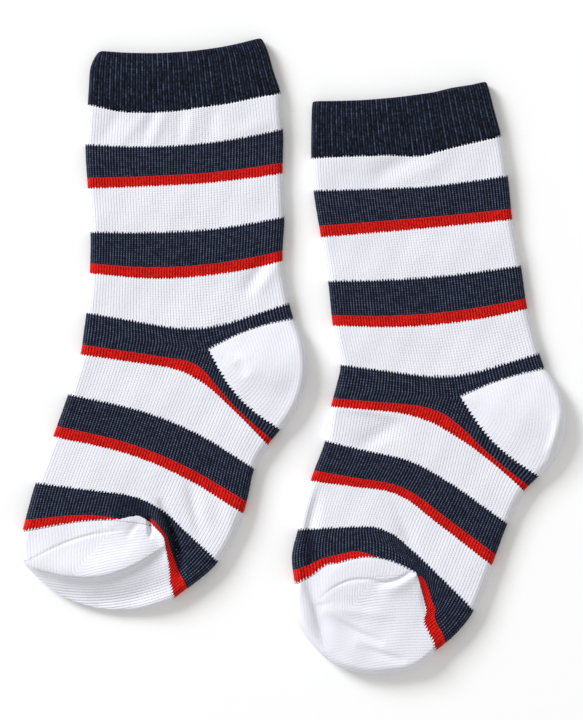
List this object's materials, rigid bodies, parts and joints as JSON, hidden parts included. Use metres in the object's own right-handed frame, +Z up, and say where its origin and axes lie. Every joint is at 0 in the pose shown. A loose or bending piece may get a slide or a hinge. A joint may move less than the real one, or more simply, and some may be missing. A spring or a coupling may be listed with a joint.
{
  "type": "pair of socks",
  "caption": "Pair of child's striped crew socks, laid flat side by side: navy rib cuffs, leg and foot in navy, red and white bands, white heel and toe pockets.",
  "frame": {"origin": "on the surface that the pair lies on, below the middle of the pair's box", "axes": "+Z up from the surface; +Y towards the cuffs, along the legs; +X to the side that the heels point to"},
  "size_m": [0.2068, 0.2412, 0.0099],
  "materials": {
    "navy_rib": "matt cotton rib, knitted 1x1 and turned double",
    "striped_jersey": "matt fine plain knit in navy, red and white bands",
    "white_jersey": "matt fine plain knit, worked to and fro as a pocket"
  },
  "bodies": {
    "root": {"left_cuff": "navy_rib", "left_leg": "striped_jersey", "left_heel": "white_jersey", "left_toe": "white_jersey", "right_cuff": "navy_rib", "right_leg": "striped_jersey", "right_heel": "white_jersey", "right_toe": "white_jersey"}
  },
  "joints": []
}
